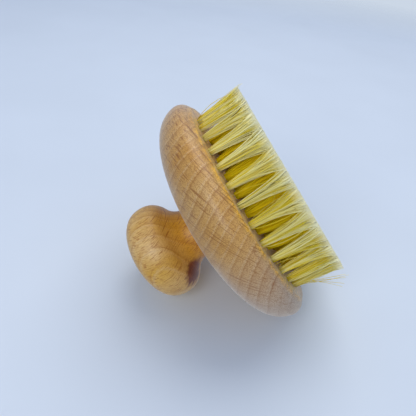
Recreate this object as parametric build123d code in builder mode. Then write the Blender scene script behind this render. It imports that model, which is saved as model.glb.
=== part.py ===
from build123d import *
from math import atan2, cos, degrees, radians, sin, sqrt, tan
import os

# Round beard brush with a knob handle, standing on its bristle tips.
# A turned beech block is drilled with rings of blind holes.  Each hole holds one
# tuft of plant fibre, folded under a flat wire anchor whose ends bite into the wood.
# A turned beech knob is glued to the back of the block on a fluted dowel pin.
# Units are millimetres.  +Z runs from the bristle tips towards the knob, and the
# origin is the middle of the trimmed bristle tips.

# Bristles
bristle_length = 18.2  # from the drilled face to the trimmed tips
tuft_rings = 5  # rings around one tuft in the middle
ring_pitch = 7.2
outer_ring_tufts = 32
tuft_root_radius = 1.25  # a tuft packed in its hole
tuft_tip_radius = 3.4  # the same tuft, spread at its tips

# Tuft holes and wire anchors
hole_radius = 1.3
hole_depth = 9.5
drill_point = 118  # included angle of the drill's tip, in degrees
anchor_width = 3.2  # wider than the hole, so that both ends bite
anchor_height = 1.6
anchor_thickness = 0.4
anchor_clearance = 0.02  # between the anchor and the fibres
fold_thickness = 0.8  # fibres folded round the inner edge of the anchor

# Block
rim_radius = 45.4
face_radius = 41.2
bevel_height = 2.8  # from the drilled face to the rim
dome_height = 19.0  # from the rim to the crown
dome_power = 2.56  # superellipse power: 2 is an ellipse, and more is squarer
face_edge_radius = 0.6
rim_edge_radius = 4.6
seat_radius = 10.8  # flat seat that the knob is glued to

# Knob
knob_top = 68.3  # above the bristle tips
knob_radius = 19.3
crown_height = 10.9  # from the widest part to the top
crown_power = 2.5
shoulder_radius = 8.5  # rounding under the head
neck_radius = 10.0
neck_above_seat = 1.6  # the narrowest part of the neck

# Dowel pin
dowel_radius = 4.0
dowel_length = 24.0
dowel_in_block = 8.2
dowel_chamfer = 0.8
dowel_end_gap = 0.5
glue_gap = 0.05
flute_count = 16
flute_radius = 0.35

# Heights above the bristle tips
face_z = bristle_length
rim_z = face_z + bevel_height
seat_z = rim_z + dome_height * (1 - (seat_radius / rim_radius) ** dome_power) ** (1 / dome_power)
neck_z = seat_z + neck_above_seat
equator_z = knob_top - crown_height
dowel_z = seat_z - dowel_in_block
hole_end_z = face_z + hole_depth
anchor_z = hole_end_z - fold_thickness - anchor_height / 2


def superellipse(radius, height, power, base_z, points=11):
    """Quarter of a superellipse, from its widest point up to the axis."""
    turns = [radians(90 * i / (points - 1)) for i in range(points)]
    outline = [
        (radius * cos(turn) ** (2 / power), base_z + height * sin(turn) ** (2 / power))
        for turn in turns[:-1]
    ]
    return outline + [(0, base_z + height)]


def ring_places(ring):
    """Places of a ring's tufts, evenly spread, where ring 0 is the tuft in the middle."""
    count = max(1, round(outer_ring_tufts * ring / tuft_rings))
    return PolarLocations(ring * ring_pitch, count, rotate=False)


# Block: turned outline, knob seat, dowel bore, tuft holes and anchor slits
with BuildPart() as brush_block:
    with BuildSketch(Plane.XZ):
        with BuildLine():
            Polyline((0, face_z), (face_radius, face_z), (rim_radius, rim_z))
            dome = superellipse(rim_radius, dome_height, dome_power, rim_z)
            Spline(*dome, tangents=[(0, 1), (-1, 0)])
            Line(dome[-1], (0, face_z))
        make_face()
    revolve(axis=Axis.Z)
    rim_edge = brush_block.edges().filter_by(GeomType.CIRCLE).sort_by(Axis.Z)[1]
    fillet(rim_edge, rim_edge_radius)
    fillet(brush_block.faces().sort_by(Axis.Z)[0].edges(), face_edge_radius)
    with BuildSketch(Plane.XY.offset(seat_z)):
        Circle(seat_radius)
    extrude(amount=dome_height, mode=Mode.SUBTRACT)
    with Locations((0, 0, seat_z)):
        Hole(dowel_radius + glue_gap, depth=dowel_in_block + dowel_end_gap)
    for ring in range(tuft_rings + 1):
        with BuildSketch(Plane.XY.offset(face_z)):
            with ring_places(ring):
                Circle(hole_radius)
        extrude(amount=hole_depth, mode=Mode.SUBTRACT)
        with Locations((0, 0, hole_end_z)):
            with ring_places(ring):
                Cone(
                    bottom_radius=hole_radius,
                    top_radius=0,
                    height=hole_radius / tan(radians(drill_point / 2)),
                    align=(Align.CENTER, Align.CENTER, Align.MIN),
                    mode=Mode.SUBTRACT,
                )
        with Locations((0, 0, anchor_z)):
            with ring_places(ring):
                Box(anchor_width, anchor_thickness, anchor_height, mode=Mode.SUBTRACT)
brush_block.part.label = "brush_block"

# The neck's hollow arc touches the shoulder's arc, which ends at the widest part.
# Its radius follows from the two centres being both radii apart.
shoulder_x = knob_radius - shoulder_radius
step = neck_radius - shoulder_x
drop = equator_z - neck_z
hollow_radius = (step**2 + drop**2 - shoulder_radius**2) / (2 * (shoulder_radius - step))
hollow_x = neck_radius + hollow_radius
touch_angle = degrees(atan2(drop, shoulder_x - hollow_x))
seat_angle = 180 + degrees(
    atan2(neck_above_seat, sqrt(hollow_radius**2 - neck_above_seat**2))
)

# Knob: a turned head on a hollow neck, bored for the dowel
with BuildPart() as knob:
    with BuildSketch(Plane.XZ):
        with BuildLine():
            hollow = CenterArc(
                (hollow_x, neck_z), hollow_radius, touch_angle, seat_angle - touch_angle
            )
            CenterArc(
                (shoulder_x, equator_z), shoulder_radius, touch_angle - 180, 180 - touch_angle
            )
            crown = superellipse(knob_radius, crown_height, crown_power, equator_z)
            Spline(*crown, tangents=[(0, 1), (-1, 0)])
            Polyline(crown[-1], (0, seat_z), hollow @ 1)
        make_face()
    revolve(axis=Axis.Z)
    with Locations(Location((0, 0, seat_z), (180, 0, 0))):
        Hole(dowel_radius + glue_gap, depth=dowel_length - dowel_in_block + dowel_end_gap)
knob.part.label = "knob"

# Dowel pin: chamfered beech pin with glue flutes, one end in the block, one in the knob
with BuildPart() as dowel_pin:
    with BuildSketch(Plane.XY.offset(dowel_z)):
        Circle(dowel_radius)
    extrude(amount=dowel_length)
    chamfer(dowel_pin.edges().filter_by(GeomType.CIRCLE), dowel_chamfer)
    with BuildSketch(Plane.XY.offset(dowel_z)):
        with PolarLocations(dowel_radius, flute_count):
            Circle(flute_radius)
    extrude(amount=dowel_length, mode=Mode.SUBTRACT)
dowel_pin.part.label = "dowel_pin"

# One tuft: packed in its hole, slit for its anchor, spread at its trimmed tips
with BuildPart() as tuft:
    with BuildSketch(Plane.XZ):
        with BuildLine():
            Polyline(
                (0, 0),
                (tuft_tip_radius, 0),
                (tuft_root_radius, face_z),
                (tuft_root_radius, hole_end_z),
                (0, hole_end_z),
                close=True,
            )
        make_face()
    revolve(axis=Axis.Z)
    with Locations((0, 0, anchor_z)):
        Box(
            anchor_width,
            anchor_thickness + 2 * anchor_clearance,
            anchor_height + 2 * anchor_clearance,
            mode=Mode.SUBTRACT,
        )

# The tufts and the wire anchors of each ring
tuft_groups = []
for ring in range(tuft_rings + 1):
    ring_name = f"ring_{ring}" if ring else "centre"
    with BuildPart() as tufts:
        with ring_places(ring):
            add(tuft.part)
    tufts.part.label = f"tufts_{ring_name}"
    with BuildPart() as anchors:
        with Locations((0, 0, anchor_z)):
            with ring_places(ring):
                Box(anchor_width, anchor_thickness, anchor_height)
    anchors.part.label = f"anchors_{ring_name}"
    tuft_groups += [tufts.part, anchors.part]

os.makedirs("parts", exist_ok=True)
for piece in [brush_block.part, knob.part, dowel_pin.part] + tuft_groups:
    export_step(piece, f"parts/{piece.label}.step")
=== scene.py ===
"""Looks of the round beard brush: beech block and knob, plant-fibre tufts and their anchors."""

import logging
import math
from dataclasses import dataclass, field
from enum import Enum

import bpy
import numpy as np
from mathutils import Matrix, Vector


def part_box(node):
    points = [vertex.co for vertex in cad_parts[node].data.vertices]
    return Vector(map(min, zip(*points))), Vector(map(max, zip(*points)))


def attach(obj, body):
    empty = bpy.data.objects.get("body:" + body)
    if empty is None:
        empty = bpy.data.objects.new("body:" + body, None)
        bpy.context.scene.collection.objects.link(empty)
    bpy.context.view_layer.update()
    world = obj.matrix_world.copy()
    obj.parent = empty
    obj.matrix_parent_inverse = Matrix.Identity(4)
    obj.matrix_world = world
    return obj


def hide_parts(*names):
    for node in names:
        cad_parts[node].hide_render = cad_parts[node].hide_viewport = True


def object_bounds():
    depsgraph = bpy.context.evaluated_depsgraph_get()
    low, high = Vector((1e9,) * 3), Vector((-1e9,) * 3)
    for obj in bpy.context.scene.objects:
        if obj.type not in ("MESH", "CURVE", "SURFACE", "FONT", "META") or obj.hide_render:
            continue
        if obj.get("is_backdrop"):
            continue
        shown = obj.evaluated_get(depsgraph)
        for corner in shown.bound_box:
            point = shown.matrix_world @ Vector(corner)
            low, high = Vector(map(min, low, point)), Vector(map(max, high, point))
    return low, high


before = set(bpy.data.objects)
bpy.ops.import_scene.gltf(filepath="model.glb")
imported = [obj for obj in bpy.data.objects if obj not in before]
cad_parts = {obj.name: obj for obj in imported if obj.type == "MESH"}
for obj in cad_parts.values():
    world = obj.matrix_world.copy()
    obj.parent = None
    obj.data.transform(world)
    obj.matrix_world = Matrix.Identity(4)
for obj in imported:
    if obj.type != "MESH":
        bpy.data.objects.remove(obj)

MILLIMETRE = 0.001
BODY = "root"
LOG = logging.getLogger("beard_brush")

# A colour is linear red, green and blue, and a triple is three lengths, factors or rates.
Colour = tuple[float, float, float]
Triple = tuple[float, float, float]


class Grain(Enum):
    """Which way the fibres of a piece of wood run."""

    ACROSS = "across the turning axis"
    ALONG = "along the turning axis"


class NodeSheet:
    """One material's node tree, laid out in short steps that read from left to right."""

    def __init__(self, name: str) -> None:
        """Starts a material with an empty node tree.

        Args:
            name: the material's name.
        """
        self.material = bpy.data.materials.new(name)
        self.material.use_nodes = True
        self.nodes = self.material.node_tree.nodes
        self.links = self.material.node_tree.links
        self.nodes.clear()

    def feed(self, socket: bpy.types.NodeSocket, source: object) -> None:
        """Links a socket to another node's output, or sets it to a constant.

        Args:
            socket: the input to feed.
            source: an output socket, a number or a tuple of numbers.
        """
        if isinstance(source, bpy.types.NodeSocket):
            self.links.new(source, socket)
        else:
            socket.default_value = source

    def position(self) -> bpy.types.NodeSocket:
        """Object coordinates, in metres."""
        return self.nodes.new("ShaderNodeTexCoord").outputs["Object"]

    def attribute(self, name: str) -> bpy.types.NodeSocket:
        """The number that a piece's mesh holds at each point.

        Args:
            name: the attribute's name.

        Returns:
            The number's socket.
        """
        node = self.nodes.new("ShaderNodeAttribute")
        node.attribute_name = name
        return node.outputs["Fac"]

    def math(self, operation: str, first: object, second: object = 0.0) -> bpy.types.NodeSocket:
        """Arithmetic on one or two numbers.

        Args:
            operation: Blender's name of the operation.
            first: the first number or socket.
            second: the second number or socket, where the operation takes one.

        Returns:
            The result's socket.
        """
        node = self.nodes.new("ShaderNodeMath")
        node.operation = operation
        self.feed(node.inputs[0], first)
        self.feed(node.inputs[1], second)
        return node.outputs[0]

    def split(self, vector: object) -> tuple[bpy.types.NodeSocket, ...]:
        """Takes a vector apart.

        Args:
            vector: the vector's socket.

        Returns:
            The sockets of its X, Y and Z.
        """
        node = self.nodes.new("ShaderNodeSeparateXYZ")
        self.feed(node.inputs[0], vector)
        return tuple(node.outputs)

    def scaled_sum(self, source: object, factor: object, term: object) -> bpy.types.NodeSocket:
        """Works out source x factor + term.

        Args:
            source: a number or socket.
            factor: a number or socket.
            term: a number or socket.

        Returns:
            The result's socket.
        """
        node = self.nodes.new("ShaderNodeMath")
        node.operation = "MULTIPLY_ADD"
        for socket, value in zip(node.inputs, (source, factor, term)):
            self.feed(socket, value)
        return node.outputs[0]

    def stretch(self, vector: object, factors: Triple) -> bpy.types.NodeSocket:
        """Multiplies a vector's three parts by three factors.

        Args:
            vector: the vector's socket.
            factors: one number for each part.

        Returns:
            The stretched vector's socket.
        """
        node = self.nodes.new("ShaderNodeVectorMath")
        node.operation = "MULTIPLY"
        self.feed(node.inputs[0], vector)
        self.feed(node.inputs[1], factors)
        return node.outputs[0]

    def distance(self, vector: object, point: Triple) -> bpy.types.NodeSocket:
        """How far a place is from a point.

        Args:
            vector: the place's socket.
            point: the point, in the same units.

        Returns:
            The distance's socket.
        """
        node = self.nodes.new("ShaderNodeVectorMath")
        node.operation = "DISTANCE"
        self.feed(node.inputs[0], vector)
        self.feed(node.inputs[1], point)
        return node.outputs["Value"]

    def noise(self, vector: object, scale: float = 1.0, detail: float = 2.0) -> bpy.types.NodeSocket:
        """Smooth noise from 0 to 1 around a mean of one half.

        Args:
            vector: where the noise is read.
            scale: how many bumps there are to a unit.
            detail: how many finer layers are added.

        Returns:
            The noise's socket.
        """
        node = self.nodes.new("ShaderNodeTexNoise")
        self.feed(node.inputs["Vector"], vector)
        self.feed(node.inputs["Scale"], scale)
        self.feed(node.inputs["Detail"], detail)
        return node.outputs["Fac"]

    def ramp(self, source: object, stops: list[tuple[float, float]]) -> bpy.types.NodeSocket:
        """A curve through grey stops.

        Args:
            source: the number that is looked up.
            stops: pairs of a place from 0 to 1 and the grey value there.

        Returns:
            The grey value's socket.
        """
        node = self.nodes.new("ShaderNodeValToRGB")
        self.feed(node.inputs["Fac"], source)
        elements = node.color_ramp.elements
        while len(elements) < len(stops):
            elements.new(0.5)
        for element, (place, grey) in zip(elements, stops):
            element.position = place
            element.color = (grey, grey, grey, 1.0)
        return node.outputs["Color"]

    def span(self, source: object, start: float, end: float) -> bpy.types.NodeSocket:
        """Maps a number so that start becomes 0 and end becomes 1, and no further.

        Args:
            source: the number's socket.
            start: the value that becomes 0.
            end: the value that becomes 1, which may be the smaller one.

        Returns:
            The mapped number's socket.
        """
        node = self.nodes.new("ShaderNodeMapRange")
        self.feed(node.inputs["Value"], source)
        self.feed(node.inputs["From Min"], start)
        self.feed(node.inputs["From Max"], end)
        return node.outputs["Result"]

    def mix(self, share: object, first: object, second: object) -> bpy.types.NodeSocket:
        """Blends two colours.

        Args:
            share: 0 for the first colour and 1 for the second.
            first: a colour or a colour's socket.
            second: a colour or a colour's socket.

        Returns:
            The blended colour's socket.
        """
        node = self.nodes.new("ShaderNodeMix")
        node.data_type = "RGBA"
        self.feed(node.inputs["Factor"], share)
        for socket, colour in ((node.inputs[6], first), (node.inputs[7], second)):
            self.feed(socket, colour if isinstance(colour, bpy.types.NodeSocket) else (*colour, 1.0))
        return node.outputs[2]

    def mix_shaders(self, share: object, first: object, second: object) -> bpy.types.NodeSocket:
        """Blends two shaders.

        Args:
            share: 0 for the first shader and 1 for the second.
            first: a shader's socket.
            second: a shader's socket.

        Returns:
            The blended shader's socket.
        """
        node = self.nodes.new("ShaderNodeMixShader")
        for socket, source in zip(node.inputs, (share, first, second)):
            self.feed(socket, source)
        return node.outputs[0]

    def bump(self, height: object, distance: float, strength: float) -> bpy.types.NodeSocket:
        """A surface normal tilted by a height.

        Args:
            height: the height's socket.
            distance: the height in metres that a value of one stands for.
            strength: how much of the tilt is kept.

        Returns:
            The normal's socket.
        """
        node = self.nodes.new("ShaderNodeBump")
        self.feed(node.inputs["Height"], height)
        self.feed(node.inputs["Distance"], distance)
        self.feed(node.inputs["Strength"], strength)
        return node.outputs["Normal"]

    def surface(self, **inputs: object) -> bpy.types.NodeSocket:
        """A Principled surface.

        Args:
            **inputs: the surface's inputs by name, with underscores for spaces.

        Returns:
            The shader's socket.
        """
        shader = self.nodes.new("ShaderNodeBsdfPrincipled")
        for name, source in inputs.items():
            self.feed(shader.inputs[name.replace("_", " ")], source)
        return shader.outputs["BSDF"]

    def finish(self, shader: bpy.types.NodeSocket) -> bpy.types.Material:
        """Ends the tree.

        Args:
            shader: the shader that the surface shows.

        Returns:
            The finished material.
        """
        output = self.nodes.new("ShaderNodeOutputMaterial")
        self.links.new(shader, output.inputs["Surface"])
        return self.material


@dataclass(frozen=True)
class PaintedLight:
    """A second colour on part of a piece of wood that paints light and shade on it.

    Lengths are in millimetres.
    """

    colour: Colour
    strength: float

    def share(self, sheet: NodeSheet) -> bpy.types.NodeSocket:
        """How much of the colour shows before its strength is applied, 0 to 1."""
        raise NotImplementedError


@dataclass(frozen=True)
class LowPaintedLight(PaintedLight):
    """Painted light and shade that is full at one height and gone a little above it."""

    height: float
    fade: float
    patchiness: float = 0.0
    patches_per_metre: float = 450.0

    def share(self, sheet: NodeSheet) -> bpy.types.NodeSocket:
        """Full below the height, and falling evenly to nothing over the fade above it.

        The patchiness says how much of the painted colour is missing between its patches.

        Args:
            sheet: the material that the painted colour is drawn in.

        Returns:
            The share's socket.
        """
        height = sheet.split(sheet.position())[2]
        low, high = self.height * MILLIMETRE, (self.height + self.fade) * MILLIMETRE
        patches = sheet.noise(sheet.position(), self.patches_per_metre)
        patchy = sheet.ramp(patches, [(0.38, 1 - self.patchiness), (0.58, 1.0)])
        return sheet.math("MULTIPLY", sheet.span(height, high, low), patchy)


@dataclass(frozen=True)
class SpotPaintedLight(PaintedLight):
    """A ragged spot of painted light and shade round a point, soft over the outer share of its
    radius.
    """

    middle: Triple
    radius: float
    softness: float
    raggedness: float = 6.0
    tongues_per_metre: Triple = (500.0, 500.0, 160.0)

    def share(self, sheet: NodeSheet) -> bpy.types.NodeSocket:
        """One at the middle, and falling to nothing at about the radius.

        Noise times the raggedness is added to the distance from the middle.  The edge lies
        half of the raggedness further out to make up for the noise's mean.

        Args:
            sheet: the material that the painted spot is drawn in.

        Returns:
            The share's socket.
        """
        place = sheet.position()
        distance = sheet.distance(place, tuple(part * MILLIMETRE for part in self.middle))
        tongues = sheet.noise(sheet.stretch(place, self.tongues_per_metre))
        reach = sheet.scaled_sum(tongues, self.raggedness * MILLIMETRE, distance)
        edge = (self.radius + self.raggedness / 2) * MILLIMETRE
        return sheet.span(reach, edge, edge - self.radius * self.softness * MILLIMETRE)


@dataclass(frozen=True)
class BeechFinish:
    """Turned and lacquered beech, figured in three dimensions around the tree's pith.

    Lengths are in millimetres.  The wood is worked out in the tree's own coordinates: along
    the grain, and two ways across it from the pith.  Each stretch multiplies them before
    noise is read, so that a small number draws the noise out that way.
    """

    name: str
    grain: Grain
    pith: Triple
    pale: Colour
    deep: Colour
    line: Colour
    early: Colour = (0.76, 0.57, 0.34)
    early_strength: float = 0.3
    ring_spacing: float = 4.4
    ring_narrowing: float = 0.0006
    ring_strength: float = 0.75
    ring_wander: float = 8.0
    ring_shake: float = 1.0
    ray_strength: float = 0.8
    ray_stretch: Triple = (0.4, 3.2, 0.07)
    ray_radius: float = 45.0
    fleck_strength: float = 0.4
    fleck_stretch: Triple = (0.3, 3.2, 3.2)
    pore_strength: float = 0.3
    pore_depth: float = 0.06
    pore_stretch: Triple = (1.2, 7.0, 7.0)
    tone_stretch: Triple = (0.02, 0.06, 0.06)
    roughness: float = 0.4
    coat: float = 0.9
    sheen: float = 0.05
    relief: float = 0.6
    painted_lights: tuple[PaintedLight, ...] = ()

    def tree_place(self, sheet: NodeSheet) -> bpy.types.NodeSocket:
        """Turns Object coordinates into the tree's own: along the grain, and two ways across.

        Args:
            sheet: the material that is being drawn.

        Returns:
            The place's socket, in millimetres from the pith.
        """
        across = (0.0, 0.0, math.radians(90))
        along = (0.0, -math.radians(90), 0.0)
        tree = sheet.nodes.new("ShaderNodeMapping")
        tree.vector_type = "TEXTURE"
        sheet.feed(tree.inputs["Vector"], sheet.position())
        tree.inputs["Location"].default_value = [part * MILLIMETRE for part in self.pith]
        tree.inputs["Rotation"].default_value = across if self.grain is Grain.ACROSS else along
        tree.inputs["Scale"].default_value = (MILLIMETRE,) * 3
        return tree.outputs["Vector"]

    def rings(
        self, sheet: NodeSheet, place: bpy.types.NodeSocket, radius: bpy.types.NodeSocket
    ) -> tuple[bpy.types.NodeSocket, bpy.types.NodeSocket]:
        """Growth rings: a thin dark line at the end of each year and a pale band after it.

        The years grown by a distance from the pith are distance / spacing + narrowing x
        distance squared, so that later rings are a little narrower.  The distance wanders
        slowly and shakes finely.  Each year has its own strength, and whole areas are fainter.

        Args:
            sheet: the material that is being drawn.
            place: the place in the tree.
            radius: the distance from the pith.

        Returns:
            The shares of the dark lines and of the pale bands.
        """
        wander = sheet.math("SUBTRACT", sheet.noise(place, 0.03, 1.0), 0.5)
        shake = sheet.math("SUBTRACT", sheet.noise(place, 1.6, 2.0), 0.5)
        out = sheet.scaled_sum(wander, self.ring_wander, radius)
        out = sheet.scaled_sum(shake, self.ring_shake, out)
        pace = sheet.scaled_sum(out, self.ring_narrowing, 1 / self.ring_spacing)
        years = sheet.math("MULTIPLY", out, pace)
        season = sheet.math("FRACT", years)
        late_stops = [(0.0, 0.3), (0.05, 0.0), (0.5, 0.0), (0.86, 0.3), (0.95, 1.0), (1.0, 0.3)]
        late_wood = sheet.ramp(season, late_stops)
        early_wood = sheet.ramp(season, [(0.05, 0.0), (0.14, 1.0), (0.3, 0.0)])
        year_noise = sheet.nodes.new("ShaderNodeTexWhiteNoise")
        year_noise.noise_dimensions = "1D"
        sheet.feed(year_noise.inputs["W"], sheet.math("FLOOR", years))
        year_strength = sheet.scaled_sum(year_noise.outputs["Value"], 0.6, 0.4)
        area = sheet.ramp(sheet.noise(place, 0.09, 1.0), [(0.3, 0.35), (0.65, 1.0)])
        lines = sheet.math("MULTIPLY", late_wood, sheet.math("MULTIPLY", year_strength, area))
        return lines, early_wood

    def rays(
        self, sheet: NodeSheet, place: bpy.types.NodeSocket, radius: bpy.types.NodeSocket
    ) -> bpy.types.NodeSocket:
        """Medullary rays: short thin streaks that run out from the pith.

        They are noise read along the grain, round the pith and out from it, and stretched
        outwards.  The angle round the pith counts as the arc that it spans at the ray_radius.

        Args:
            sheet: the material that is being drawn.
            place: the place in the tree.
            radius: the distance from the pith.

        Returns:
            The rays' share.
        """
        along, side, up = sheet.split(place)
        around = sheet.math("MULTIPLY", sheet.math("ARCTAN2", up, side), self.ray_radius)
        polar = sheet.nodes.new("ShaderNodeCombineXYZ")
        for socket, part in zip(polar.inputs, (along, around, radius)):
            sheet.feed(socket, part)
        noise = sheet.noise(sheet.stretch(polar.outputs[0], self.ray_stretch), 1.0, 1.0)
        return sheet.ramp(noise, [(0.0, 0.0), (0.57, 0.0), (0.7, 1.0)])

    def material(self) -> bpy.types.Material:
        """Growth rings, medullary rays, flecks and pores over broad tone and the painted light and
        shade.

        Returns:
            The finished material.
        """
        sheet = NodeSheet(self.name)
        place = self.tree_place(sheet)
        side, up = sheet.split(place)[1:]
        up_squared = sheet.math("POWER", up, 2.0)
        radius = sheet.math("SQRT", sheet.math("ADD", sheet.math("POWER", side, 2.0), up_squared))
        rings, early_wood = self.rings(sheet, place, radius)
        rays = self.rays(sheet, place, radius)
        fleck_noise = sheet.noise(sheet.stretch(place, self.fleck_stretch), 1.0, 2.0)
        flecks = sheet.ramp(fleck_noise, [(0.0, 0.0), (0.44, 0.0), (0.66, 1.0)])
        pore_noise = sheet.noise(sheet.stretch(place, self.pore_stretch), 1.0, 1.0)
        pores = sheet.ramp(pore_noise, [(0.0, 0.0), (0.5, 0.0), (0.75, 1.0)])
        tone = sheet.noise(sheet.stretch(place, self.tone_stretch), 1.0, 3.0)

        colour = sheet.mix(sheet.ramp(tone, [(0.3, 0.0), (0.7, 1.0)]), self.pale, self.deep)
        early_share = sheet.math("MULTIPLY", early_wood, self.early_strength)
        colour = sheet.mix(early_share, colour, self.early)
        # Painted light and shade go into the colour under the grain: reflection, glow, shade and
        # shadow.
        for tint in self.painted_lights:
            share = sheet.math("MULTIPLY", tint.share(sheet), tint.strength)
            colour = sheet.mix(share, colour, tint.colour)
        for pattern, strength in (
            (rings, self.ring_strength),
            (rays, self.ray_strength),
            (flecks, self.fleck_strength),
            (pores, self.pore_strength),
        ):
            colour = sheet.mix(sheet.math("MULTIPLY", pattern, strength), colour, self.line)

        height = sheet.scaled_sum(pores, -0.6, sheet.math("MULTIPLY", rays, -0.4))
        surface = sheet.surface(
            Base_Color=colour,
            Roughness=sheet.scaled_sum(pores, 0.2, self.roughness),
            Specular_IOR_Level=0.3,
            Coat_Weight=self.coat,
            Coat_Roughness=0.38,
            Sheen_Weight=self.sheen,
            Sheen_Roughness=0.3,
            Normal=sheet.bump(height, self.pore_depth * MILLIMETRE, self.relief),
        )
        return sheet.finish(surface)


@dataclass(frozen=True)
class FibreFinish:
    """Stiff plant fibre: cream outside and at the trimmed tips, with painted golden bounce light
    inside.

    The mesh says how pale each point is, how dark each strand's tone is, and gives each fibre
    a number of its own.  Heights are in millimetres above the tips.
    """

    name: str
    bounce_gold: Colour
    amber: Colour
    cream: Colour
    straw: Colour
    bleached: Colour
    dark: Colour
    strand_share: float = 0.65
    bleached_below: float = 0.3
    bleached_until: float = 3.5
    bleached_strength: float = 0.6
    streaks_per_metre: Triple = (9000.0, 9000.0, 300.0)
    streak_depth: float = 0.03

    def material(self) -> bpy.types.Material:
        """Colour along each fibre and from strand to strand, with a few dark fibres.

        Returns:
            The finished material.
        """
        sheet = NodeSheet(self.name)
        pale = sheet.attribute("fibre_pale")
        own = sheet.attribute("fibre_tint")
        own_part = sheet.math("MULTIPLY", own, 1 - self.strand_share)
        tone = sheet.scaled_sum(sheet.attribute("fibre_tone"), self.strand_share, own_part)
        shade = sheet.ramp(tone, [(0.25, 0.0), (0.8, 1.0)])
        # The golden colour is painted light bounced between the fibres inside the brush, the cream
        # is the fibres' own; amber and straw are the darker strands' shades of each.
        light = sheet.mix(pale, self.bounce_gold, self.cream)
        colour = sheet.mix(shade, light, sheet.mix(pale, self.amber, self.straw))
        height = sheet.split(sheet.position())[2]
        until, below = self.bleached_until * MILLIMETRE, self.bleached_below * MILLIMETRE
        bleach = sheet.math("MULTIPLY", sheet.span(height, until, below), self.bleached_strength)
        colour = sheet.mix(bleach, colour, self.bleached)
        colour = sheet.mix(sheet.ramp(own, [(0.995, 0.0), (0.997, 0.95)]), colour, self.dark)
        streak = sheet.noise(sheet.stretch(sheet.position(), self.streaks_per_metre))
        surface = sheet.surface(
            Base_Color=colour,
            Roughness=sheet.ramp(streak, [(0.3, 0.5), (0.7, 0.7)]),
            Specular_IOR_Level=0.12,
            Normal=sheet.bump(streak, self.streak_depth * MILLIMETRE, 0.4),
        )
        return sheet.finish(surface)


@dataclass(frozen=True)
class WireFinish:
    """Drawn flat wire, with fine lines along its length."""

    name: str
    colour: Colour
    tarnished: Colour
    lines_per_metre: Triple = (300.0, 9000.0, 9000.0)
    tarnish_per_metre: float = 900.0
    line_depth: float = 0.01

    def material(self) -> bpy.types.Material:
        """Metal whose gloss and relief follow the drawing lines.

        Returns:
            The finished material.
        """
        sheet = NodeSheet(self.name)
        lines = sheet.noise(sheet.stretch(sheet.position(), self.lines_per_metre), 1.0, 3.0)
        tarnish = sheet.noise(sheet.position(), self.tarnish_per_metre)
        share = sheet.ramp(tarnish, [(0.4, 0.0), (0.7, 1.0)])
        surface = sheet.surface(
            Base_Color=sheet.mix(share, self.colour, self.tarnished),
            Metallic=1.0,
            Roughness=sheet.ramp(lines, [(0.3, 0.25), (0.7, 0.45)]),
            Normal=sheet.bump(lines, self.line_depth * MILLIMETRE, 0.5),
        )
        return sheet.finish(surface)


@dataclass(frozen=True)
class TableFinish:
    """Plain pale table top, seen from its upper side only, that fades into the background.

    The brush is lit by an even glow in place of the table's own bounced light, so that it has
    no black patches where it touches the table, which show in views through the table.  The
    fade runs between two distances, in metres.
    """

    name: str
    colour: Colour
    mottled: Colour
    glow: Colour
    fade_start: float
    fade_end: float

    def material(self) -> bpy.types.Material:
        """Matt surface with a very slight mottle, clear from below and beyond its edge.

        Returns:
            The finished material.
        """
        sheet = NodeSheet(self.name)
        mottle = sheet.ramp(sheet.noise(sheet.position(), 14.0), [(0.3, 0.0), (0.7, 1.0)])
        matt = sheet.surface(
            Base_Color=sheet.mix(mottle, self.colour, self.mottled),
            Roughness=0.7,
            Specular_IOR_Level=0.2,
        )
        distance = sheet.distance(sheet.position(), (0.0, 0.0, 0.0))
        fade = sheet.span(distance, self.fade_start, self.fade_end)
        under = sheet.nodes.new("ShaderNodeNewGeometry").outputs["Backfacing"]
        clear = sheet.math("MAXIMUM", fade, under)
        glow = sheet.nodes.new("ShaderNodeEmission")
        sheet.feed(glow.inputs["Color"], (*self.glow, 1.0))
        seen = sheet.nodes.new("ShaderNodeLightPath").outputs["Is Camera Ray"]
        top = sheet.mix_shaders(seen, glow.outputs[0], matt)
        nothing = sheet.nodes.new("ShaderNodeBsdfTransparent").outputs["BSDF"]
        return sheet.finish(sheet.mix_shaders(clear, top, nothing))


def grid_object(name: str, points: np.ndarray, faces: np.ndarray) -> bpy.types.Object:
    """Makes a smooth mesh object from arrays, at the origin.

    Args:
        name: the object's name.
        points: vertex places in metres, one row each.
        faces: four vertex numbers a row.

    Returns:
        The object, linked to the scene.
    """
    mesh = bpy.data.meshes.new(name)
    mesh.vertices.add(len(points))
    mesh.vertices.foreach_set("co", points.astype(np.float32).ravel())
    mesh.loops.add(faces.size)
    mesh.loops.foreach_set("vertex_index", faces.astype(np.int32).ravel())
    mesh.polygons.add(len(faces))
    mesh.polygons.foreach_set("loop_start", np.arange(0, faces.size, 4, dtype=np.int32))
    mesh.polygons.foreach_set("use_smooth", np.ones(len(faces), dtype=bool))
    mesh.update(calc_edges=True)
    mesh.validate()
    piece = bpy.data.objects.new(name, mesh)
    bpy.context.scene.collection.objects.link(piece)
    return piece


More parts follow.
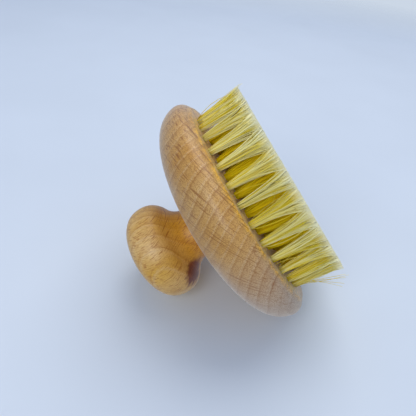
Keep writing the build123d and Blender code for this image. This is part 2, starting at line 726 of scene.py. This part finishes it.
@dataclass
class FibreShape:
    """How one fibre is drawn: stations along it and corners round it."""

    stations: int = 6
    corners: int = 4
    root_radius: float = 0.13 * MILLIMETRE
    tip_radius: float = 0.12 * MILLIMETRE

    def faces(self, fibres: int) -> np.ndarray:
        """Quads of closed tubes, one tube after another.

        The wall joins corner c of station s to corner c + 1 of station s + 1.  Each end is one
        quad over its four corners.

        Args:
            fibres: how many tubes there are.

        Returns:
            Four vertex numbers a row, facing outwards.
        """
        corner = np.arange(self.corners)
        first = np.arange(self.stations - 1)[:, None] * self.corners
        start = first + corner
        ahead = first + (corner + 1) % self.corners
        wall = np.stack([start, ahead, ahead + self.corners, start + self.corners], axis=-1)
        tip_end = corner + (self.stations - 1) * self.corners
        tube = np.vstack([wall.reshape(-1, 4), corner[::-1], tip_end])
        offsets = np.arange(fibres) * self.stations * self.corners
        return (tube[None] + offsets[:, None, None]).reshape(-1, 4)

    def tubes(self, lines: np.ndarray, thickness: np.ndarray, twist: np.ndarray) -> np.ndarray:
        """Sweeps a square section along each fibre's line.

        Each station's section lies level, at the line's place, turned by the fibre's twist.
        Its radius runs evenly from the root radius to the tip radius, times the fibre's own
        thickness.

        Args:
            lines: fibres x stations x 3 places in metres, from the root to the tip.
            thickness: one factor for each fibre.
            twist: one angle for each fibre, in radians.

        Returns:
            Vertex places, one row each, in the order that faces() expects.
        """
        run = np.linspace(0.0, 1.0, self.stations)
        radius = self.root_radius + (self.tip_radius - self.root_radius) * run
        angle = twist[:, None] - np.arange(self.corners) * 2 * np.pi / self.corners
        ring = np.stack([np.cos(angle), np.sin(angle), np.zeros_like(angle)], axis=-1)
        offsets = radius[None, :, None, None] * thickness[:, None, None, None] * ring[:, None]
        return (lines[:, :, None] + offsets).reshape(-1, 3)


@dataclass
class FibrePiece:
    """Fibres that make up one piece, each of its own thickness, twist and tint."""

    name: str
    shape: FibreShape
    seed: int
    thinnest: float = 0.75
    thickest: float = 1.2

    def build(
        self, lines: np.ndarray, pale: np.ndarray, tone: np.ndarray, material: bpy.types.Material
    ) -> bpy.types.Object:
        """Makes the piece from its fibres' lines.

        Args:
            lines: fibres x stations x 3 places in metres, from the root to the tip.
            pale: fibres x stations, 0 for the painted golden bounce light and 1 for cream.
            tone: one number for each fibre, 0 for the lighter and 1 for the darker shade.
            material: the fibres' finish.

        Returns:
            The finished piece.
        """
        random = np.random.default_rng(self.seed)
        fibres = len(lines)
        thickness = random.uniform(self.thinnest, self.thickest, fibres)
        points = self.shape.tubes(lines, thickness, random.uniform(0, np.pi, fibres))
        piece = grid_object(self.name, points, self.shape.faces(fibres))
        points_per_fibre = self.shape.stations * self.shape.corners
        values = {
            "fibre_pale": np.repeat(pale.ravel(), self.shape.corners),
            "fibre_tone": np.repeat(tone, points_per_fibre),
            "fibre_tint": np.repeat(random.uniform(0, 1, fibres), points_per_fibre),
        }
        for name, numbers in values.items():
            layer = piece.data.attributes.new(name, "FLOAT", "POINT")
            layer.data.foreach_set("value", numbers.astype(np.float32))
        piece.data.materials.append(material)
        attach(piece, BODY)
        return piece


@dataclass
class TuftRing:
    """One ring of tufts, or the single tuft in the middle, as separate fibres.

    Lengths are in metres.  A fibre is painted golden, for the light bounced between the fibres
    inside the brush, from its root up to the share bounce_gold_until of its length, and turns
    evenly to cream at its tip.  A share below 0 makes it partly cream at the root already.
    The deeper inside its tuft it is, the more of the painted golden colour inside_bounce_gold gives
    it.
    """

    node: str
    index: int
    count: int
    ring_radius: float
    face_z: float
    bounce_gold_until: float = 0.8
    inside_bounce_gold: float = 0.0
    fibres_per_tuft: int = 110
    root_radius: float = 1.2 * MILLIMETRE
    side_spread: float = 4.3 * MILLIMETRE
    radial_spread: float = 4.3 * MILLIMETRE
    strands: int = 14
    gathering: float = 0.75
    core_power: float = 0.2
    fan_power: float = 1.25
    angle_jitter: float = 0.25
    tuft_variation: float = 0.1
    fibre_variation: float = 0.08
    lean: float = 0.4 * MILLIMETRE
    outward_lean: float = 0.4
    scatter: float = 0.25 * MILLIMETRE
    bow: float = 0.3 * MILLIMETRE
    unruly_share: float = 0.04
    unruly_bow: float = 4.0
    sunk: float = 1.5 * MILLIMETRE
    trim: float = 0.12 * MILLIMETRE
    lay_seed: int = 100
    fibre_seed: int = 200
    shape: FibreShape = field(default_factory=FibreShape)

    def lines(self, random: np.random.Generator) -> tuple[np.ndarray, np.ndarray, np.ndarray]:
        """Places of every fibre of the ring.

        A fibre's root lies on a sunflower spiral in the hole: its distance from the hole's
        middle grows with the square root of its number, and its angle by the golden angle.
        Its tip lies further out the same way, times the root's share to the power core_power,
        which keeps more of the fibres near the middle.  Fibres gather into strands towards
        the tips: a tip's angle is moved by gathering x sin(strands x angle) / strands.  In
        between a fibre leaves the hole almost upright and then fans out, as run to the power
        fan_power, with a small bow of 4 x run x (1 - run) that is nothing at both ends.  Each
        tuft leans a little as a whole, less outwards than sideways, and a few unruly fibres
        bow further than the rest.

        Args:
            random: the ring's own generator.

        Returns:
            Fibres x stations x 3 places, how deep inside its tuft each fibre is, 0 to 1, and
            the tone of each fibre's strand, 0 to 1.
        """
        number = np.arange(self.fibres_per_tuft)
        share = np.sqrt((number + 0.5) / self.fibres_per_tuft)
        angle = number * np.pi * (3 - np.sqrt(5)) + random.uniform(0, 2 * np.pi, (self.count, 1))
        angle = angle + random.normal(0, self.angle_jitter, (self.count, self.fibres_per_tuft))
        across = np.stack([np.cos(angle), np.sin(angle)], axis=-1) * share[None, :, None]
        strand = (np.floor(self.strands * angle / (2 * np.pi) + 0.5) % self.strands).astype(int)
        tone = np.take_along_axis(random.random((self.count, self.strands)), strand, axis=1)
        gathered = angle - self.gathering * np.sin(self.strands * angle) / self.strands
        gathered = np.stack([np.cos(gathered), np.sin(gathered)], axis=-1)

        spread = np.array([self.radial_spread, self.side_spread])
        tips = gathered * spread * share[None, :, None] ** (1 + self.core_power)
        tips *= random.normal(1.0, self.tuft_variation, (self.count, 1, 1))
        tips *= random.normal(1.0, self.fibre_variation, (self.count, self.fibres_per_tuft, 1))
        tips += random.normal(0, self.lean, (self.count, 1, 2)) * np.array([self.outward_lean, 1.0])
        tips += random.normal(0, self.scatter, tips.shape)
        roots = across * (self.root_radius - self.shape.root_radius)

        run = np.linspace(0.0, 1.0, self.shape.stations)[None, None, :, None]
        bow = random.normal(0, self.bow, (self.count, self.fibres_per_tuft, 1, 2))
        unruly = random.random((self.count, self.fibres_per_tuft, 1, 1)) < self.unruly_share
        bow = np.where(unruly, self.unruly_bow * bow, bow)
        fan = (tips - roots)[:, :, None] * run**self.fan_power
        flat = roots[:, :, None] + fan + bow * 4 * run * (1 - run)

        turn = 2 * np.pi * np.arange(self.count) / self.count
        outwards = np.stack([np.cos(turn), np.sin(turn)], axis=-1)
        sideways = np.stack([-np.sin(turn), np.cos(turn)], axis=-1)
        centre = self.ring_radius * outwards
        level = (
            centre[:, None, None]
            + flat[..., :1] * outwards[:, None, None]
            + flat[..., 1:] * sideways[:, None, None]
        )
        tip_z = random.normal(0, self.trim, (self.count, self.fibres_per_tuft, 1))
        height = (self.face_z + self.sunk) * (1 - run[..., 0]) + tip_z * run[..., 0]
        lines = np.concatenate([level, height[..., None]], axis=-1)
        depth = np.broadcast_to(1 - share, (self.count, self.fibres_per_tuft))
        return lines.reshape(-1, self.shape.stations, 3), depth.ravel(), tone.ravel()

    def build(self, material: bpy.types.Material) -> bpy.types.Object:
        """Makes the ring's piece, which stands for the plain tufts of the CAD model.

        Args:
            material: the fibres' finish.

        Returns:
            The finished piece.
        """
        lines, depth, tone = self.lines(np.random.default_rng(self.lay_seed + self.index))
        run = np.linspace(0.0, 1.0, self.shape.stations)
        # Share of cream, against the painted golden bounce light, at each station.
        pale = (run - self.bounce_gold_until) / (1 - self.bounce_gold_until)
        pale = pale - self.inside_bounce_gold * depth[:, None]
        name = f"fibres_{self.node.removeprefix('tufts_')}"
        maker = FibrePiece(name, self.shape, self.fibre_seed + self.index)
        piece = maker.build(lines, np.clip(pale, 0, 1), tone, material)
        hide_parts(self.node)
        return piece


@dataclass(frozen=True)
class Stray:
    """One fibre that has left its tuft.

    Turn is the tuft's direction from the axis, in degrees, where -90 faces the front.  The
    tip and the bow are in millimetres, outwards and sideways from the root, and tip_z is
    above the trimmed tips.
    """

    turn: float
    tip_out: float
    tip_side: float
    tip_z: float
    bow_out: float = 0.0
    bow_side: float = 0.0


@dataclass
class StrayFibres:
    """Loose fibres that stand out from the outer ring of tufts."""

    ring_radius: float
    face_z: float
    strays: tuple[Stray, ...] = (
        Stray(-176.0, 6.8, 0.5, 1.0),
        Stray(-172.0, 8.2, -1.0, 2.6, bow_out=-0.8),
        Stray(-168.0, 5.8, 2.5, -0.4, bow_out=0.6),
        Stray(-178.0, 9.4, 1.0, 3.8, bow_out=-1.2),
        Stray(-164.0, 5.2, -1.5, 0.3),
        Stray(-2.0, 3.9, 0.5, -2.3, bow_out=0.5),
        Stray(-6.0, 3.4, -2.0, -1.7, bow_out=0.8),
        Stray(3.0, 4.6, 1.0, -0.6),
        Stray(-11.0, 3.6, 1.6, -1.2),
        Stray(-103.0, 2.0, 7.5, 5.5, bow_side=-2.2),
        Stray(-84.0, 3.2, -5.0, 1.0, bow_side=1.5),
        Stray(-58.0, 3.6, 4.5, 0.6, bow_side=-1.0),
        Stray(-128.0, 3.4, -4.0, 0.2, bow_side=1.4),
        Stray(70.0, 5.5, 2.0, 0.6),
        Stray(118.0, 6.0, -2.5, 1.0, bow_out=-0.5),
    )
    paleness: float = 0.5
    darkness: float = 1.0
    seed: int = 300
    shape: FibreShape = field(
        default_factory=lambda: FibreShape(10, 4, 0.09 * MILLIMETRE, 0.07 * MILLIMETRE)
    )

    def build(self, material: bpy.types.Material) -> bpy.types.Object:
        """Makes all the strays as one piece.

        A stray runs straight from its root on the ring to its tip, plus a bow of
        4 x run x (1 - run) that is nothing at both ends.

        Args:
            material: the fibres' finish.

        Returns:
            The finished piece.
        """
        turn = np.radians([stray.turn for stray in self.strays])
        zero = np.zeros_like(turn)
        outwards = np.stack([np.cos(turn), np.sin(turn), zero], axis=-1)[:, None]
        sideways = np.stack([-np.sin(turn), np.cos(turn), zero], axis=-1)[:, None]
        run = np.linspace(0.0, 1.0, self.shape.stations)[:, None]
        arch = 4 * run * (1 - run) * MILLIMETRE
        ends = np.array([[stray.tip_out, stray.tip_side, stray.tip_z] for stray in self.strays])
        ends = ends[:, None] * MILLIMETRE
        bows = np.array([[stray.bow_out, stray.bow_side] for stray in self.strays])[:, None]
        out = self.ring_radius + ends[..., :1] * run + bows[..., :1] * arch
        side = ends[..., 1:2] * run + bows[..., 1:] * arch
        lines = out * outwards + side * sideways
        lines[..., 2] = (self.face_z * (1 - run) + ends[..., 2:] * run)[..., 0]
        pale = np.full(lines.shape[:2], self.paleness)
        tone = np.full(len(lines), self.darkness)
        return FibrePiece("fibres_stray", self.shape, self.seed).build(lines, pale, tone, material)


@dataclass
class Bristles:
    """All the tufts, five rings round one tuft in the middle, and the loose fibres."""

    rings: int = 5
    outer_tufts: int = 32
    finish: FibreFinish = FibreFinish(
        name="tampico_fibre",
        # Painted golden light bounced between the fibres inside the brush.
        bounce_gold=(0.99, 0.79, 0.01),
        amber=(0.90, 0.65, 0.004),
        cream=(0.91, 0.88, 0.48),
        straw=(0.77, 0.62, 0.04),
        bleached=(0.90, 0.90, 0.76),
        dark=(0.05, 0.035, 0.02),
    )

    def build(self) -> list[bpy.types.Object]:
        """Makes one piece for each ring of the CAD model, where its own box says.

        The outer ring's tufts stay more upright at their roots than the others, and their
        fibres are cream outside, with painted golden bounce light only deep inside.

        Returns:
            The pieces, from the middle outwards, and then the loose fibres.
        """
        low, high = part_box("tufts_centre")
        tip_radius = (high.x - low.x) / 2
        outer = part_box(f"tufts_ring_{self.rings}")[1].x - tip_radius
        face_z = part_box("brush_block")[0].z
        material = self.finish.material()
        pieces = []
        for index in range(self.rings + 1):
            node = f"tufts_ring_{index}" if index else "tufts_centre"
            ring = TuftRing(
                node=node,
                index=index,
                count=max(1, round(self.outer_tufts * index / self.rings)),
                ring_radius=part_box(node)[1].x - tip_radius if index else 0.0,
                face_z=face_z,
            )
            if index == self.rings:
                ring.radial_spread = 3.1 * MILLIMETRE
                ring.side_spread = 4.2 * MILLIMETRE
                ring.fan_power = 2.4
                # Cream outside, with painted golden bounce light only deep inside.
                ring.bounce_gold_until = -3.0
                ring.inside_bounce_gold = 0.6
            pieces.append(ring.build(material))
        pieces.append(StrayFibres(outer, face_z).build(material))
        return pieces


@dataclass
class TurnedWood:
    """The block, the knob and the dowel, which keep their CAD shapes."""

    block: BeechFinish = BeechFinish(
        name="beech_block",
        grain=Grain.ACROSS,
        pith=(-50.0, 0.0, 4.0),
        pale=(0.66, 0.40, 0.13),
        deep=(0.57, 0.28, 0.04),
        line=(0.27, 0.09, 0.006),
        ring_strength=0.85,
        fleck_strength=0.6,
        coat=0.65,
        sheen=0.3,
        painted_lights=(
            # Painted reflection of the pale table: a pale greyish veil over the block's end next to
            # it.
            SpotPaintedLight(
                colour=(0.55, 0.46, 0.38),
                strength=0.8,
                middle=(-40.0, -30.0, 24.0),
                radius=34.0,
                softness=0.9,
            ),
            # Painted golden light from the bristles: a patchy orange band on the flat face next to
            # the tufts.
            LowPaintedLight(
                colour=(0.92, 0.50, 0.03), strength=0.9, height=18.4, fade=0.9, patchiness=0.85
            ),
        ),
    )
    knob: BeechFinish = BeechFinish(
        name="beech_knob",
        grain=Grain.ALONG,
        pith=(24.0, 18.0, 0.0),
        pale=(0.80, 0.54, 0.22),
        deep=(0.70, 0.39, 0.04),
        line=(0.34, 0.09, 0.003),
        ring_strength=0.75,
        fleck_strength=0.35,
        coat=0.4,
        relief=0.25,
        painted_lights=(
            # Painted shade: a deeper orange over the knob below its crown, next to the block.
            LowPaintedLight(colour=(0.66, 0.29, 0.0), strength=0.9, height=46.0, fade=9.0),
            # Painted shadow: a dark red-brown spot where the block and the table shade the knob.
            SpotPaintedLight(
                colour=(0.13, 0.006, 0.0),
                strength=0.97,
                middle=(-12.8, -6.0, 50.5),
                radius=6.5,
                softness=0.35,
            ),
        ),
    )
    dowel: BeechFinish = BeechFinish(
        name="beech_dowel",
        grain=Grain.ALONG,
        pith=(30.0, 10.0, 0.0),
        pale=(0.60, 0.43, 0.27),
        deep=(0.52, 0.35, 0.19),
        line=(0.30, 0.16, 0.07),
        roughness=0.7,
        coat=0.0,
    )

    def dress(self) -> list[bpy.types.Object]:
        """Gives each wooden node its own finish.

        Returns:
            The nodes.
        """
        finishes = {"brush_block": self.block, "knob": self.knob, "dowel_pin": self.dowel}
        for node, finish in finishes.items():
            dress_node(node, finish.material())
        return [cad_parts[node] for node in finishes]


@dataclass
class Anchors:
    """The flat wire anchors inside the tuft holes, which keep their CAD shapes."""

    finish: WireFinish = WireFinish(
        name="anchor_wire", colour=(0.55, 0.54, 0.52), tarnished=(0.33, 0.324, 0.312)
    )

    def dress(self) -> list[bpy.types.Object]:
        """Gives every ring of anchors the wire finish.

        Returns:
            The nodes.
        """
        material = self.finish.material()
        nodes = [name for name in sorted(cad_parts) if name.startswith("anchors_")]
        for node in nodes:
            dress_node(node, material)
        return [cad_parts[node] for node in nodes]


def dress_node(node: str, material: bpy.types.Material) -> None:
    """Puts a material on a CAD node.

    Args:
        node: the node's name.
        material: its finish.
    """
    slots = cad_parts[node].data.materials
    slots.clear()
    slots.append(material)


@dataclass(frozen=True)
class SoftLight:
    """A square lamp.

    Its place is right of, behind and above the point of the table under the middle of the
    bristle tips.  Lengths are in metres and the power is in watts.
    """

    name: str
    place: Triple
    side: float
    power: float
    colour: Colour

    def build(self, table: Matrix, target: Vector) -> None:
        """Hangs the lamp over the table.

        Args:
            table: the table's frame.
            target: the point that the lamp faces.
        """
        data = bpy.data.lights.new(self.name, "AREA")
        data.size = self.side
        data.energy = self.power
        data.color = self.colour
        light = bpy.data.objects.new(self.name, data)
        bpy.context.scene.collection.objects.link(light)
        light.location = table @ Vector(self.place)
        light.rotation_mode = "QUATERNION"
        light.rotation_quaternion = (light.location - target).to_track_quat("Z", "Y")


@dataclass
class Studio:
    """Pale table, soft light and the camera.

    The brush lies on its side on the table, on its rim and the edge of its knob.  The table
    is therefore the plane that touches both.  It faces +X, turned about the brush's axis by
    lie_turn degrees towards the front.  Lengths are in metres.
    """

    camera_distance: float = 0.175
    aim_height: float = 0.0336
    aim_side: float = 0.0056
    roll: float = 30.6
    lens: float = 39.0
    lie_turn: float = 39.0
    lean_steps: int = 1401
    table_reach: float = 1.6
    table_cells: int = 16
    lit_height: float = 0.03
    background: Colour = (0.60, 0.68, 0.79)
    skylight: Colour = (0.31, 0.39, 0.54)
    table: TableFinish = TableFinish(
        name="pale_table",
        colour=(0.66, 0.72, 0.80),
        mottled=(0.6402, 0.6984, 0.776),
        glow=(0.43, 0.48, 0.56),
        fade_start=0.5,
        fade_end=0.75,
    )
    lights: tuple[SoftLight, ...] = (
        SoftLight("window", (0.02, 0.3, 0.8), side=0.7, power=4.0, colour=(1.0, 0.96, 0.90)),
        SoftLight("fill", (-0.12, -0.72, 0.5), side=0.5, power=3.0, colour=(0.97, 0.97, 0.96)),
    )

    def outline(self, node: str) -> np.ndarray:
        """Measures a node's shape in the half-plane that turns about the brush's axis.

        Args:
            node: the node's name.

        Returns:
            Two rows, the distance from the axis and the height of each of its vertices.
        """
        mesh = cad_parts[node].data
        places = np.empty(len(mesh.vertices) * 3, np.float32)
        mesh.vertices.foreach_get("co", places)
        places = places.reshape(-1, 3)
        return np.stack([np.hypot(places[:, 0], places[:, 1]), places[:, 2]])

    def table_plane(self) -> tuple[Vector, float]:
        """Upward direction of the table, and its distance from the origin.

        For a plane that leans by an angle, a node reaches as far as the largest
        distance x cos(angle) + height x sin(angle) of its vertices.  The brush rests at the
        angle where the block and the knob reach equally far.

        Returns:
            The table's unit normal, and how far below the origin it lies.
        """
        angles = np.radians(np.linspace(10, 80, self.lean_steps))
        lean = np.stack([np.cos(angles), np.sin(angles)], axis=1)
        block_reach = (lean @ self.outline("brush_block")).max(axis=1)
        knob_reach = (lean @ self.outline("knob")).max(axis=1)
        rest = int(np.argmin(np.abs(block_reach - knob_reach)))
        turn = math.radians(self.lie_turn)
        outwards = Vector((math.cos(turn), -math.sin(turn), 0.0))
        normal = outwards * lean[rest, 0] - Vector((0.0, 0.0, lean[rest, 1]))
        return normal, float(block_reach[rest])

    def build_table(self) -> Matrix:
        """Lays the table under the brush.

        Returns:
            The table's own frame: X to the right of the camera, Y away from it and Z up.
        """
        normal, reach = self.table_plane()
        right = Vector((0.0, 1.0, 0.0)).cross(normal).normalized()
        away = normal.cross(right)
        place = Matrix((right, away, normal)).transposed().to_4x4()
        place.translation = -normal * reach
        row = self.table_cells + 1
        ends = np.linspace(-self.table_reach, self.table_reach, row)
        x, y = np.meshgrid(ends, ends, indexing="ij")
        points = np.stack([x.ravel(), y.ravel(), np.zeros(x.size)], axis=1)
        cell = np.arange(self.table_cells)
        start = (cell[:, None] * row + cell).ravel()
        faces = np.stack([start, start + row, start + row + 1, start + 1], axis=1)
        top = grid_object("table_top", points, faces)
        top.matrix_world = place
        top.data.materials.append(self.table.material())
        top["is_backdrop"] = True
        return place

    def build_world(self) -> None:
        """Even pale surroundings, brighter to the camera than they are as light."""
        world = bpy.data.worlds.new("pale_room")
        bpy.context.scene.world = world
        world.use_nodes = True
        nodes, links = world.node_tree.nodes, world.node_tree.links
        seen = nodes["Background"]
        lighting = nodes.new("ShaderNodeBackground")
        for shader, colour in ((seen, self.background), (lighting, self.skylight)):
            shader.inputs["Color"].default_value = (*colour, 1.0)
            shader.inputs["Strength"].default_value = 1.0
        mixer = nodes.new("ShaderNodeMixShader")
        links.new(nodes.new("ShaderNodeLightPath").outputs["Is Camera Ray"], mixer.inputs[0])
        links.new(lighting.outputs[0], mixer.inputs[1])
        links.new(seen.outputs[0], mixer.inputs[2])
        links.new(mixer.outputs[0], nodes["World Output"].inputs["Surface"])

    def build_camera(self) -> None:
        """Puts the camera level with the bristle tips, rolled so that the brush leans."""
        data = bpy.data.cameras.new("camera")
        data.lens = self.lens
        data.clip_start = 0.01
        camera = bpy.data.objects.new("camera", data)
        bpy.context.scene.collection.objects.link(camera)
        camera.location = (0.0, -self.camera_distance, 0.0)
        back = (camera.location - Vector((self.aim_side, 0.0, self.aim_height))).normalized()
        roll = math.radians(self.roll)
        hint = Vector((math.cos(roll), 0.0, -math.sin(roll)))
        up = (hint - back * hint.dot(back)).normalized()
        turned = Matrix((up.cross(back), up, back)).transposed()
        camera.rotation_mode = "QUATERNION"
        camera.rotation_quaternion = turned.to_quaternion()
        bpy.context.scene.camera = camera

    def build(self) -> None:
        """Builds the whole studio."""
        self.build_camera()
        table = self.build_table()
        self.build_world()
        for light in self.lights:
            light.build(table, Vector((0.0, 0.0, self.lit_height)))
        bpy.context.scene.view_settings.view_transform = "Standard"


def corners(box: tuple[Vector, Vector]) -> list[list[float]]:
    """A box's two corners as plain lists of numbers."""
    return [list(corner) for corner in box]


def main() -> None:
    """Builds the brush's looks around the frame, measures its size, and builds the studio."""
    logging.basicConfig(level=logging.INFO, format="%(name)s: %(message)s")
    cad_box = corners(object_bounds())
    for group in (TurnedWood().dress(), Anchors().dress(), Bristles().build()):
        for piece in group:
            LOG.info("%s: %d faces", piece.name, len(piece.data.polygons))
    Studio().build()
    {"cad": cad_box, "visual": corners(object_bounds())}


if __name__ == "__main__":
    main()
